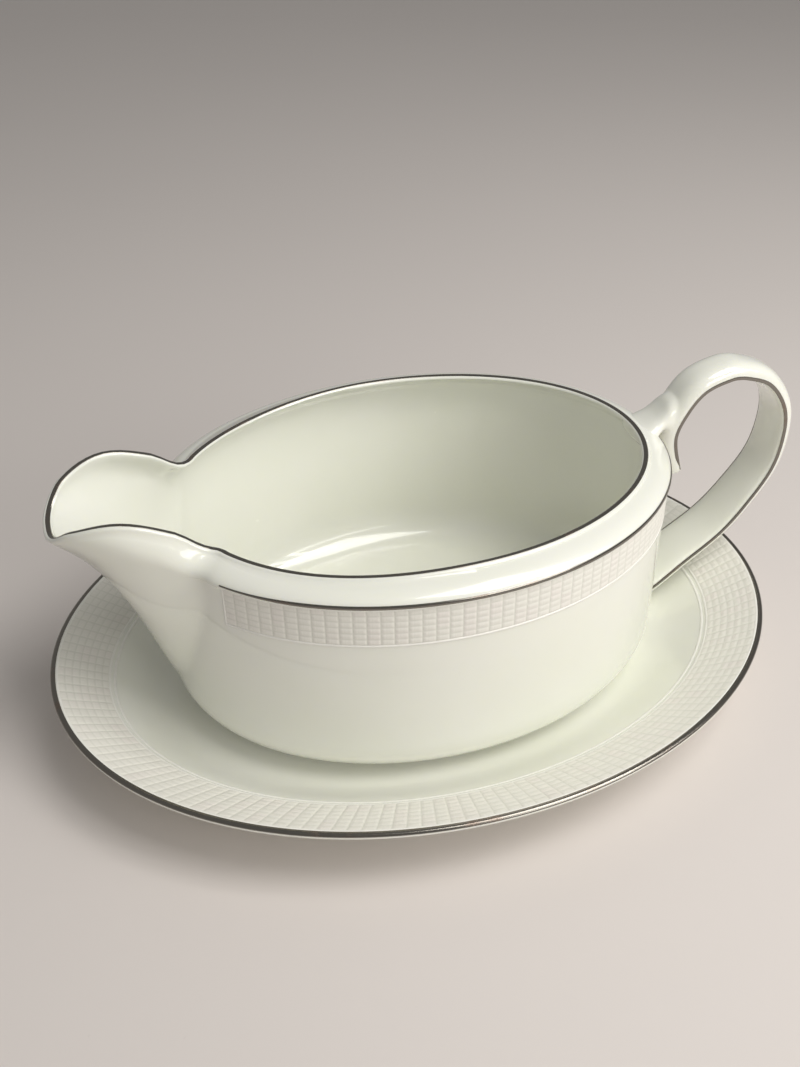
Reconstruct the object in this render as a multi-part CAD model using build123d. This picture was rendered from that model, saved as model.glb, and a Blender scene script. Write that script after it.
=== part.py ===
from build123d import *
from math import atan2, cos, degrees, hypot, pi, radians, sin, sqrt
import os

# Sauce boat on its oval stand, in bone china with platinum lines and a woven raised band.
# Millimetres. +Z is up, the table is Z = 0 and the stand's centre is X = Y = 0.
# The spout points along -X and the handle along +X.

# ---- stand ----
stand_margin_x = 37.0           # stand's edge beyond the boat's wall, at the ends
stand_margin_y = 30.0           # and at the sides
stand_height = 22.0             # table to the top of the stand's edge
stand_wall = 3.0                # china thickness under the sloping rim
stand_edge = 1.8                # china thickness at the very edge
stand_edge_flat = 1.4           # width of the flat along its top
well_top = 6.1                  # table to the floor that the boat stands on
well_floor = 3.5                # thickness of that floor
well_margin = 38.0              # from the edge in to the flat well
dish_curve = ((0.42, 0.57), (0.76, 0.13))   # share of the way in to the well, share of its depth left
foot_width = 4.0                # width of the stand's foot ring
foot_inset = 1.5                # foot ring in from the edge of the flat well

# ---- boat bowl ----
seat_gap = 0.2                  # glaze clearance between boat and stand
bowl_length = 156.0             # outside of the wall, along X
bowl_width = 120.0              # outside of the wall, along Y
bowl_height = 70.4              # boat's foot to the top of the rim
bowl_wall = 2.6
bowl_floor = 3.4
corner_radius = 15.0            # where the wall turns in to the foot
foot_recess = 0.8               # hollow under the boat, inside its foot ring
foot_ring = 6.0
collar_height = 5.3             # rounded shoulder below the rim
collar_step = 0.8               # the collar stands this much proud of the wall
collar_ease = 0.5               # height over which the wall steps out to it
rim_inset_x = 6.5               # rim in from the collar's foot, at the ends
rim_inset_y = 7.3               # and at the sides

# ---- spout ----
spout_start = 14.0              # boat's foot to the lowest point of the spout
spout_reach = 28.5              # tip beyond the wall
spout_flare = 0.39              # share of the reach that comes in the last flare
spout_half_width = 32.5         # where it runs out on the wall
spout_mouth_angle = 22.0        # half angle of the mouth at the rim, about the bowl's centre
lip_rise = 10.4                 # highest part of the lip above the rim
lip_tip_rise = 1.6              # and its tip above the rim
lip_run_out = 3.2               # the cutter's line falls this much ahead of the tip
lip_curve = ((0.14, 0.63), (0.45, 1.0), (0.78, 0.504))     # share back from the tip, share of the crest
notch_share = 0.97              # notch where the lip meets the rim, against the mouth's half angle

# ---- handle ----
strap_dome = 3.6                # outer face of the strap above its edges
strap_belly = 0.9               # inner face below its edges
strap_tail_width = 12.6         # free end of the upper curl
strap_top_width = 13.2          # top of the loop
strap_root_width = 18.4         # where it runs into the foot of the wall
handle_reach = 46.3             # strap's edges beyond the wall
handle_rise = 12.3              # top of the loop above the rim
tail_gap = 6.3                  # strap's edges beyond the wall, at the curl
bridge_height = 7.0             # lump that joins the strap to the collar
bridge_rise = 1.5               # and its top above the rim
bridge_width = 10.6
root_rise = 4.6                 # strap's end above the boat's foot
root_gap = 1.2                  # and off the wall, so that the strap's thickness meets it
# strap's edges along the handle, as steps in X and Z from the places named
curl = ((3.5, -18.6), (0.0, -6.6), (1.9, 0.5), (7.7, 8.4))      # from the curl's back and the rim
crest_run = ((16.7, 0.0), (22.0, -0.4))                         # from the curl's back and the loop's top
hand_side = ((-8.5, 7.4), (-1.9, -1.3), (0.0, -10.4), (-2.0, -23.5))    # from the loop's end and the rim
fall = ((-9.7, 34.5), (-18.4, 24.8), (-31.7, 15.5))             # from the loop's end and the boat's foot
approach = (3.9, 8.2)                                           # from the wall and the boat's foot

# ---- decoration ----
line_skin = 0.2                 # thickness of a platinum line
rim_line_width = 1.1
rim_line_inset = 0.9
collar_line_width = 0.9
edge_line_width = 1.2           # on the stand's edge
handle_line_radius = 0.55
band_skin = 0.2                 # thickness of the woven enamel band
band_height = 11.6              # on the boat
border_height = 0.8
border_skin = 0.3
stand_band_inset = 2.0          # from the stand's edge
stand_band_width = 14.5
spout_margin = 1.2              # bands and lines stop this far behind the rim's notch

# ---- worked out ----
boat_base = well_top + seat_gap
rim_level = boat_base + bowl_height
collar_level = rim_level - collar_height
wall_a = bowl_length / 2
wall_b = bowl_width / 2
spout_level = boat_base + spout_start
stand_a = wall_a + stand_margin_x
stand_b = wall_b + stand_margin_y
foot_level = well_top - well_floor
overshoot = 5.0                 # how far cutting tools pass the china

rim_a = wall_a + collar_step - rim_inset_x
notch_x = rim_a * cos(radians(spout_mouth_angle)) * notch_share


def oval(a, b, angle):
    """Radius of an oval with half axes a and b at an angle from its long axis."""
    return a * b / hypot(b * cos(angle), a * sin(angle))


def shoulder(level):
    """0 at the foot of the collar and 1 at the rim, rounding over towards the rim."""
    turn = 0.93
    share = min(max((level - collar_level) / collar_height, 0), 1)
    return (1 - sqrt(1 - (turn * share) ** 2)) / (1 - sqrt(1 - turn**2))


def corner_inset(level):
    """How far the wall has turned in near the foot."""
    drop = max(boat_base + corner_radius - level, 0)
    return corner_radius - sqrt(max(corner_radius**2 - drop**2, 0))


def spout_share(level):
    return min(max((level - spout_level) / (rim_level - spout_level), 0), 1)


def nose(level):
    """Distance of the spout's front line from the bowl's centre."""
    share = spout_share(level)
    return wall_a + spout_reach * ((1 - spout_flare) * share + spout_flare * share**5)


def spout_half_angle(level):
    share = spout_share(level)
    width = spout_half_width * (1 - (1 - share) ** 3)
    on_wall = degrees(atan2(width, sqrt(max(1 - (width / wall_b) ** 2, 0)) * wall_a))
    return radians(on_wall + (spout_mouth_angle - on_wall) * shoulder(level))


def outline_radius(angle, level, proud):
    """Plan radius of the boat's outside, with the angle measured from the spout's line."""
    inset = corner_inset(level)
    a = wall_a + proud - inset - rim_inset_x * shoulder(level)
    b = wall_b + proud - inset - rim_inset_y * shoulder(level)
    base = oval(a, b, angle)
    half_angle = spout_half_angle(level)
    if abs(angle) >= half_angle:
        return base
    swell = (1 - (abs(angle) / half_angle) ** 3) ** 2.5
    return base + (nose(level) - oval(a, b, 0)) * swell


def outline_point(angle, level, proud):
    r = outline_radius(angle, level, proud)
    return -r * cos(angle), -r * sin(angle)


def outline(level, inset=0.0, proud=0.0):
    """Closed plan outline of the boat at a level, moved inwards square to itself by inset."""
    steps = 14
    step = 1e-4
    points = []
    for i in range(-steps, steps + 1):
        angle = pi / 2 * abs(i / steps) ** 1.4 * (1 if i >= 0 else -1)
        (x0, y0), (x, y), (x1, y1) = [
            outline_point(turn, level, proud) for turn in (angle - step, angle, angle + step)
        ]
        run = hypot(x1 - x0, y1 - y0)
        points.append((x - inset * (y1 - y0) / run, y + inset * (x1 - x0) / run, level))
    front = Spline(*points, tangents=[(-1, 0, 0), (1, 0, 0)])
    back_a = outline_radius(pi, level, proud) - inset
    back_b = points[0][1]
    back = EllipticalCenterArc((0, 0), back_a, back_b, start_angle=-90, arc_size=180)
    return make_face(front + back.moved(Location((0, 0, level))))


def lift(face, height):
    return extrude(face, height, dir=(0, 0, 1))


# ---- boat: bowl and spout in one casting ----
corner_turns = (0, 30, 55, 75, 90)
corner_levels = [boat_base + corner_radius * (1 - cos(radians(turn))) for turn in corner_turns]
wall_steps = 6
wall_rise = (collar_level - corner_levels[-1]) / wall_steps
wall_levels = [corner_levels[-1] + wall_rise * (i + 1) for i in range(wall_steps)]
collar_shares = (0, 0.3, 0.55, 0.75, 0.9, 1)
collar_foot = collar_level + collar_ease
collar_levels = [collar_foot + (rim_level - collar_foot) * share for share in collar_shares]


def top_profile(lower, upper):
    """Slab that follows the top of the lip and the rim, from lower to upper above it."""
    tip_x = -nose(rim_level)
    half = wall_b + overshoot
    crest = rim_level + lip_rise
    tip = rim_level + lip_tip_rise
    span = -notch_x - tip_x
    lip = [(tip_x + back * span, 0, tip + up * (crest - tip)) for back, up in lip_curve]
    edge = Spline(
        (tip_x - overshoot, 0, tip - lip_run_out),
        (tip_x, 0, tip),
        *lip,
        (-notch_x, 0, rim_level),
        tangents=[(1, 0, 0.6), (1, 0, -0.35)],
    )
    run = Line((-notch_x, 0, rim_level), (wall_a + 2 * overshoot, 0, rim_level))
    low = (edge + run).moved(Location((0, half, lower)))
    high = (edge + run).moved(Location((0, half, upper)))
    ends = Line(low @ 0, high @ 0) + Line(low @ 1, high @ 1)
    return extrude(make_face(low + high + ends), 2 * half, dir=(0, -1, 0))


above = top_profile(0, lip_rise + 3 * overshoot)
lip_height = lip_rise + overshoot

bowl_outside = loft([outline(level) for level in corner_levels + wall_levels])
step_outside = loft([outline(collar_level), outline(collar_foot, proud=collar_step)], ruled=True)
collar_outside = loft([outline(level, proud=collar_step) for level in collar_levels])
lip_outside = lift(outline(rim_level, proud=collar_step), lip_height)
boat_outside = bowl_outside + step_outside + collar_outside + (lip_outside - above)

inner_radius = corner_radius - bowl_wall
floor_level = boat_base + bowl_floor
floor_levels = [floor_level + inner_radius * (1 - cos(radians(turn))) for turn in corner_turns]


def inside_outline(level):
    """Inside of the wall, which turns in to the floor on its own smaller radius."""
    drop = max(floor_level + inner_radius - level, 0)
    turn_in = inner_radius - sqrt(max(inner_radius**2 - drop**2, 0))
    return outline(level, inset=bowl_wall + max(turn_in - corner_inset(level), 0))


inside_rise = (collar_level - floor_levels[-1]) / wall_steps
inside_levels = floor_levels + [floor_levels[-1] + inside_rise * (i + 1) for i in range(wall_steps)]
bowl_inside = loft([inside_outline(level) for level in inside_levels])
collar_inside = loft([
    outline(collar_level + collar_height * share, bowl_wall, collar_step * share)
    for share in collar_shares
])
lip_inside = lift(outline(rim_level, bowl_wall, collar_step), lip_height)
hollow = Pos(0, 0, boat_base) * Ellipse(
    wall_a - corner_radius - foot_ring, wall_b - corner_radius - foot_ring
)
boat_body = boat_outside - bowl_inside - collar_inside - lip_inside - lift(hollow, foot_recess)

# ---- platinum lines and the woven band of the boat ----
line_outer = outline(rim_level, rim_line_inset, collar_step)
line_inner = outline(rim_level, rim_line_inset + rim_line_width, collar_step)
rim_ring = lift(line_outer, lip_height) - lift(line_inner, lip_height)
rim_line = rim_ring & top_profile(0, line_skin)

spout_block = Pos(-notch_x - spout_margin - bowl_length / 2, 0, rim_level) * Box(
    bowl_length, 2 * bowl_width, 4 * bowl_height
)


def skin_ring(level, height, skin, proud=0.0):
    """Band of the given thickness on the outside of the boat, open at the spout."""
    ring = lift(outline(level, -skin, proud), height) - lift(outline(level, skin, proud), height)
    return ring - boat_outside - spout_block


collar_line = skin_ring(collar_foot, collar_line_width, line_skin, collar_step)
band_level = collar_level - line_skin - band_height
woven_band = skin_ring(band_level, band_height, band_skin)
band_border = skin_ring(band_level - border_height, border_height, border_skin)

# ---- handle: a flat strap in one loop, stuck on with slip ----
loop_x = wall_a + handle_reach
loop_top = rim_level + handle_rise
tail_x = wall_a + tail_gap
root_level = boat_base + root_rise


def steps_from(x, z, steps):
    return [(x + dx, 0, z + dz) for dx, dz in steps]


strap_path = Spline(
    *steps_from(tail_x, rim_level, curl),
    *steps_from(tail_x, loop_top, crest_run),
    *steps_from(loop_x, rim_level, hand_side),
    *steps_from(loop_x, boat_base, fall),
    *steps_from(wall_a, boat_base, [approach]),
    (wall_a - corner_inset(root_level) + root_gap, 0, root_level),
)
top_share = 0.28
strap_shares = (0, 0.06, 0.14, top_share, 0.42, 0.56, 0.7, 0.85, 1)


def strap_half_width(share):
    """Half the strap's width, which grows from its free tail to its root."""
    if share < top_share:
        return (strap_tail_width + (strap_top_width - strap_tail_width) * share / top_share) / 2
    growth = (share - top_share) / (1 - top_share)
    return (strap_top_width + (strap_root_width - strap_top_width) * growth) / 2


def strap_section(share):
    """Flat on the hand's side and domed outside, with its two edges on the path."""
    half = strap_half_width(share)
    dome = EllipticalCenterArc((0, 0), half, strap_dome, start_angle=0, arc_size=180)
    belly = EllipticalCenterArc((0, 0), half, strap_belly, start_angle=180, arc_size=180)
    place = Plane(origin=strap_path @ share, x_dir=(0, 1, 0), z_dir=strap_path % share)
    return place * make_face(dome + belly)


strap = sweep([strap_section(share) for share in strap_shares], path=strap_path, multisection=True)
bridge_length = tail_x - rim_a
bridge_middle = rim_level + bridge_rise - bridge_height / 2
bridge = Pos(rim_a + bridge_length / 2, 0, bridge_middle) * Box(
    bridge_length, bridge_width, bridge_height
)
handle = (strap + bridge) - boat_outside - collar_line


def strap_edge(side):
    """Line that runs along one edge of the strap."""
    shares = [i / 16 for i in range(17)]
    places = [strap_path @ share + Vector(0, side * strap_half_width(share), 0) for share in shares]
    path = Spline(*places)
    section = Plane(origin=path @ 0, z_dir=path % 0) * Circle(handle_line_radius)
    return sweep(section, path=path) - handle - boat_outside


near_handle_line = strap_edge(-1)
far_handle_line = strap_edge(1)

# ---- stand: an oval dish on a foot ring ----
# inset from the edge, and level of the upper face there
dish_depth = stand_height - well_top
slope = [(stand_edge_flat, stand_height)]
slope += [(share * well_margin, well_top + left * dish_depth) for share, left in dish_curve]
slope += [(well_margin, well_top)]


def stand_oval(inset, level):
    return Pos(0, 0, level) * Ellipse(stand_a - inset, stand_b - inset)


top_ovals = [stand_oval(inset, level) for inset, level in reversed(slope)]
above_dish = loft(top_ovals) + lift(top_ovals[-1], bowl_height)
edge_oval = stand_oval(0, stand_height - stand_edge)
under_ovals = [stand_oval(well_margin - stand_wall, foot_level)]
under_ovals += [stand_oval(inset, level - stand_wall) for inset, level in reversed(slope[1:-1])]
under_ovals += [edge_oval]
foot_outer = well_margin + foot_inset
foot = lift(stand_oval(foot_outer, 0) - stand_oval(foot_outer + foot_width, 0), foot_level)
stand_dish = loft(under_ovals) + lift(edge_oval, stand_edge) - above_dish + foot


def stand_ring(inset, width, level):
    return stand_oval(inset, level) - stand_oval(inset + width, level)


def stand_skin(inset, width, skin):
    """Thin band on the dish's sloping upper face."""
    shell = above_dish - Pos(0, 0, skin) * above_dish
    return shell & lift(stand_ring(inset, width, 0), 2 * stand_height)


line_inset = (stand_edge_flat - edge_line_width) / 2
stand_edge_line = lift(stand_ring(line_inset, edge_line_width, stand_height), line_skin)
stand_woven_band = stand_skin(stand_band_inset, stand_band_width, band_skin)
stand_band_border = stand_skin(stand_band_inset + stand_band_width, border_height, border_skin)

nodes = {
    "boat_body": boat_body,
    "boat_rim_line": rim_line,
    "boat_collar_line": collar_line,
    "boat_woven_band": woven_band,
    "boat_band_border": band_border,
    "handle": handle,
    "handle_line_near": near_handle_line,
    "handle_line_far": far_handle_line,
    "stand_dish": stand_dish,
    "stand_edge_line": stand_edge_line,
    "stand_woven_band": stand_woven_band,
    "stand_band_border": stand_band_border,
}
os.makedirs("parts", exist_ok=True)
for name, piece in nodes.items():
    export_step(piece, os.path.join("parts", name + ".step"))
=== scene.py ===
from math import atan2, cos, hypot, pi, radians, sin, sqrt

import bmesh
import bpy
from bpy.props import FloatProperty, FloatVectorProperty, IntProperty, PointerProperty
from bpy.types import Operator, Panel, PropertyGroup
from mathutils import Matrix, Vector


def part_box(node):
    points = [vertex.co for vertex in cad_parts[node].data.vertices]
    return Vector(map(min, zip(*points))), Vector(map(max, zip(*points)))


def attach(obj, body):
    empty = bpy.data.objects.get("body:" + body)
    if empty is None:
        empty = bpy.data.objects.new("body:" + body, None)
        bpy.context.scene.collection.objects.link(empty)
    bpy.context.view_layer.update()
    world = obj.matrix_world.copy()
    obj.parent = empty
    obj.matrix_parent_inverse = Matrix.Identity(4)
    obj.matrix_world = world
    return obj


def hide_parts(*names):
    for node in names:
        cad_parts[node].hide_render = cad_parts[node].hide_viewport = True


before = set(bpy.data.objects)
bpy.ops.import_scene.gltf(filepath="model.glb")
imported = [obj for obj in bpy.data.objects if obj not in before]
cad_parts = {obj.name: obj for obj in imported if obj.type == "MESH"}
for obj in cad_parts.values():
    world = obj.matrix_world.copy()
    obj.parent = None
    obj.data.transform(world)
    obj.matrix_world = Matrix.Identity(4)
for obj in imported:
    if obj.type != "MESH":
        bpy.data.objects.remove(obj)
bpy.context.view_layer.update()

bl_info = {
    "name": "Sauce Boat and Stand",
    "version": (1, 0, 0),
    "blender": (4, 5, 0),
    "location": "3D View > Sidebar > Sauce Boat",
    "description": "Models a bone china sauce boat with its oval stand, lined in platinum",
    "category": "Object",
}

MM = 0.001

# ---- places taken from the frame ----
stand_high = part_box("stand_dish")[1]
boat_low, boat_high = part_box("boat_body")
rim_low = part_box("boat_rim_line")[0]
collar_line_low, collar_line_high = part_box("boat_collar_line")
band_low, band_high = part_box("boat_woven_band")
border_low, border_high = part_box("boat_band_border")
handle_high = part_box("handle")[1]


def length(name, description, default):
    return FloatProperty(name=name, description=description, default=default, unit="LENGTH", precision=5)


def colour(name, description, default):
    return FloatVectorProperty(name=name, description=description, default=default, size=3,
                               subtype="COLOR", min=0.0, max=1.0)


class BoatSizes(PropertyGroup):
    """Sizes of the bowl and its spout."""
    wall: length("Wall", "Thickness of the china wall", 2.6 * MM)
    floor: length("Floor", "Thickness of the china floor", 3.4 * MM)
    corner: length("Corner radius", "Where the wall turns in to the foot", 15.0 * MM)
    recess: length("Foot recess", "Hollow under the boat", 0.8 * MM)
    foot_ring: length("Foot ring", "Width of the ring that the boat stands on", 6.0 * MM)
    collar: length("Collar", "Height of the rounded shoulder below the rim", 5.3 * MM)
    collar_step: length("Collar step", "How far the collar stands proud of the wall", 0.8 * MM)
    rim_inset_x: length("Rim inset, ends", "Rim in from the collar's foot at the ends", 6.5 * MM)
    rim_inset_y: length("Rim inset, sides", "Rim in from the collar's foot at the sides", 7.3 * MM)
    spout_start: length("Spout start", "Boat's foot to the lowest point of the spout", 14.0 * MM)
    spout_half_width: length("Spout half width", "Where the spout runs out on the wall", 32.0 * MM)
    pad: length("Spout pad", "How far the foot of the spout stands off the wall", 0.8 * MM)
    ledge: length("Inner ledge", "How far the collar is thicker on the inside", 0.55 * MM)
    mouth_angle: FloatProperty(name="Mouth half angle", description="Half angle of the spout's mouth",
                               default=radians(22), subtype="ANGLE")
    lip_rise: length("Lip rise", "Highest part of the lip above the rim", 10.4 * MM)
    lip_tip_rise: length("Lip tip rise", "Tip of the lip above the rim", 1.6 * MM)
    rim_crown: length("Rim crown", "How far the rim's top is rounded over", 0.9 * MM)
    around: IntProperty(name="Around", description="Points round each ring", default=336, min=48)


class HandleSizes(PropertyGroup):
    """Sizes of the strap handle."""
    dome: length("Dome", "Outer face above the edges", 4.4 * MM)
    belly: length("Belly", "Inner face below the edges", 1.3 * MM)
    tail_width: length("Tail width", "Width of the free curl", 12.6 * MM)
    top_width: length("Top width", "Width at the top of the loop", 13.2 * MM)
    root_width: length("Root width", "Width at the foot of the wall", 18.4 * MM)
    voxel: length("Fusing size", "Detail kept where strap and bridge are fused", 0.42 * MM)


class StandSizes(PropertyGroup):
    """Sizes of the oval stand."""
    well: length("Well level", "Table to the floor of the well", 6.1 * MM)
    well_floor: length("Well floor", "Thickness of the well's floor", 3.5 * MM)
    well_margin: length("Well margin", "Edge in to the flat well", 38.0 * MM)
    wall: length("Rim thickness", "China under the sloping rim", 3.0 * MM)
    edge: length("Edge thickness", "China at the very edge", 1.8 * MM)
    foot_inset: length("Foot inset", "Foot ring in from the flat well", 1.5 * MM)
    foot_width: length("Foot width", "Width of the foot ring", 4.0 * MM)
    band_inset: length("Band inset", "Woven band in from the edge", 2.0 * MM)
    band_width: length("Band width", "Width of the woven band", 14.5 * MM)
    around: IntProperty(name="Around", description="Points round each ring", default=256, min=48)


class DecorationSizes(PropertyGroup):
    """Sizes of the platinum lines and the woven enamel."""
    skin: length("Line thickness", "Thickness of a platinum line", 0.09 * MM)
    collar_line: length("Collar line", "Width of the line under the collar", 1.05 * MM)
    border: length("Border", "Width of a raised enamel border", 0.8 * MM)
    block: length("Block", "Width of one woven block", 3.6 * MM)
    course: length("Course", "Height of one woven course", 2.05 * MM)
    base: length("Base", "Thickness of the enamel in its grooves", 0.05 * MM)
    relief: length("Relief", "How far a block stands above its grooves", 0.16 * MM)


class Finishes(PropertyGroup):
    """Colours of the china, metal and enamel."""
    china: colour("China", "Glazed bone china", (0.90, 0.905, 0.83))
    glaze_pool: colour("Pooled glaze", "Glaze where it lies thicker", (0.86, 0.875, 0.76))
    # painted reflection: both platinum colours are kept dark to stand in for dark surroundings reflected in
    # the lustre; the browner tone of the thin lustre is its own
    platinum: colour("Platinum", "Thick platinum lustre", (0.24, 0.225, 0.20))
    thin_platinum: colour("Thin platinum", "Lustre where the brush ran dry", (0.26, 0.20, 0.165))
    enamel: colour("Enamel", "Raised woven enamel", (0.87, 0.855, 0.79))
    enamel_blush: colour("Enamel blush", "Faint pink of some blocks", (0.87, 0.81, 0.775))
    border: colour("Border", "Raised enamel borders", (0.93, 0.92, 0.865))
    table: colour("Table", "Pale surface that the stand is on", (0.74, 0.69, 0.66))


# ---- building by rings ----
def select_nothing():
    if bpy.context.object and bpy.context.object.mode != "OBJECT":
        bpy.ops.object.mode_set(mode="OBJECT")
    bpy.ops.object.select_all(action="DESELECT")


def settle(piece, ring):
    """Moves the selected ring of vertices, in their order, to its places."""
    mesh = bmesh.from_edit_mesh(piece.data)
    chosen = [v for v in mesh.verts if v.select]
    if len(chosen) != len(ring):
        raise RuntimeError("a ring of " + piece.name + " lost its vertices")
    for vertex, place in zip(chosen, ring):
        vertex.co = place
    bmesh.update_edit_mesh(piece.data)


def lay_rings(name, rings, loop=True):
    """Adds a circle on the first ring and extrudes it on to each of the others."""
    select_nothing()
    bpy.ops.mesh.primitive_circle_add(vertices=len(rings[0]))
    piece = bpy.context.object
    piece.name = name
    piece.data.name = name
    bpy.ops.object.mode_set(mode="EDIT")
    if not loop:
        mesh = bmesh.from_edit_mesh(piece.data)
        mesh.verts.ensure_lookup_table()
        first, last = mesh.verts[0], mesh.verts[-1]
        bpy.ops.mesh.select_all(action="DESELECT")
        for edge in first.link_edges:
            if edge.other_vert(first) == last:
                edge.select_set(True)
        bpy.ops.mesh.delete(type="EDGE")
        bpy.ops.mesh.select_all(action="SELECT")
    settle(piece, rings[0])
    for ring in rings[1:]:
        bpy.ops.mesh.extrude_region_move()
        settle(piece, ring)
    return piece


def close_pole(piece, place):
    """Draws the ring nearest a point together into it."""
    bpy.ops.mesh.select_all(action="DESELECT")
    mesh = bmesh.from_edit_mesh(piece.data)
    near = min((v.co - place).length for v in mesh.verts)
    for vertex in mesh.verts:
        if (vertex.co - place).length < near + 1.2 * MM and vertex.is_boundary:
            vertex.select_set(True)
    mesh.select_flush(True)
    bpy.ops.mesh.merge(type="CENTER")


def finish_mesh(piece, sharp_angle=40, weld=True):
    """Welds, turns the faces outwards and smooths a piece, and leaves edit mode."""
    if piece.mode != "EDIT":
        bpy.ops.object.mode_set(mode="EDIT")
    bpy.ops.mesh.select_all(action="SELECT")
    if weld:
        bpy.ops.mesh.remove_doubles(threshold=0.002 * MM)
    bpy.ops.mesh.fill_holes(sides=0)
    bpy.ops.mesh.select_all(action="SELECT")
    bpy.ops.mesh.normals_make_consistent(inside=False)
    bpy.ops.object.mode_set(mode="OBJECT")
    select_nothing()
    piece.select_set(True)
    bpy.context.view_layer.objects.active = piece
    bpy.ops.object.shade_smooth_by_angle(angle=radians(sharp_angle))


def apply_modifier(piece, kind, **settings):
    modifier = piece.modifiers.new(kind.title(), kind)
    for key, value in settings.items():
        setattr(modifier, key, value)
    bpy.context.view_layer.objects.active = piece
    bpy.ops.object.modifier_apply(modifier=modifier.name)


def keep_places(piece, name, places):
    """Stores one vector for each vertex, for patterns that follow the surface."""
    bpy.ops.object.mode_set(mode="OBJECT")
    store = piece.data.attributes.new(name, "FLOAT_VECTOR", "POINT")
    store.data.foreach_set("vector", [value for place in places for value in place])


def through(points, x):
    """Smooth curve through points sorted by their first value."""
    if x <= points[0][0]:
        return points[0][1]
    if x >= points[-1][0]:
        return points[-1][1]
    i = max(k for k in range(len(points) - 1) if points[k][0] <= x)

    def slope(k):
        low, high = points[max(k - 1, 0)], points[min(k + 1, len(points) - 1)]
        return (high[1] - low[1]) / (high[0] - low[0])

    (x0, y0), (x1, y1) = points[i], points[i + 1]
    run = x1 - x0
    t = (x - x0) / run
    start = (2 * t**3 - 3 * t**2 + 1) * y0 + (t**3 - 2 * t**2 + t) * run * slope(i)
    return start + (3 * t**2 - 2 * t**3) * y1 + (t**3 - t**2) * run * slope(i + 1)


def ease(low, high, value):
    t = min(max((value - low) / (high - low), 0), 1)
    return t * t * (3 - 2 * t)


def oval(a, b, angle):
    """Radius of an oval with half axes a and b at an angle from its long axis."""
    return a * b / hypot(b * cos(angle), a * sin(angle))


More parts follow.
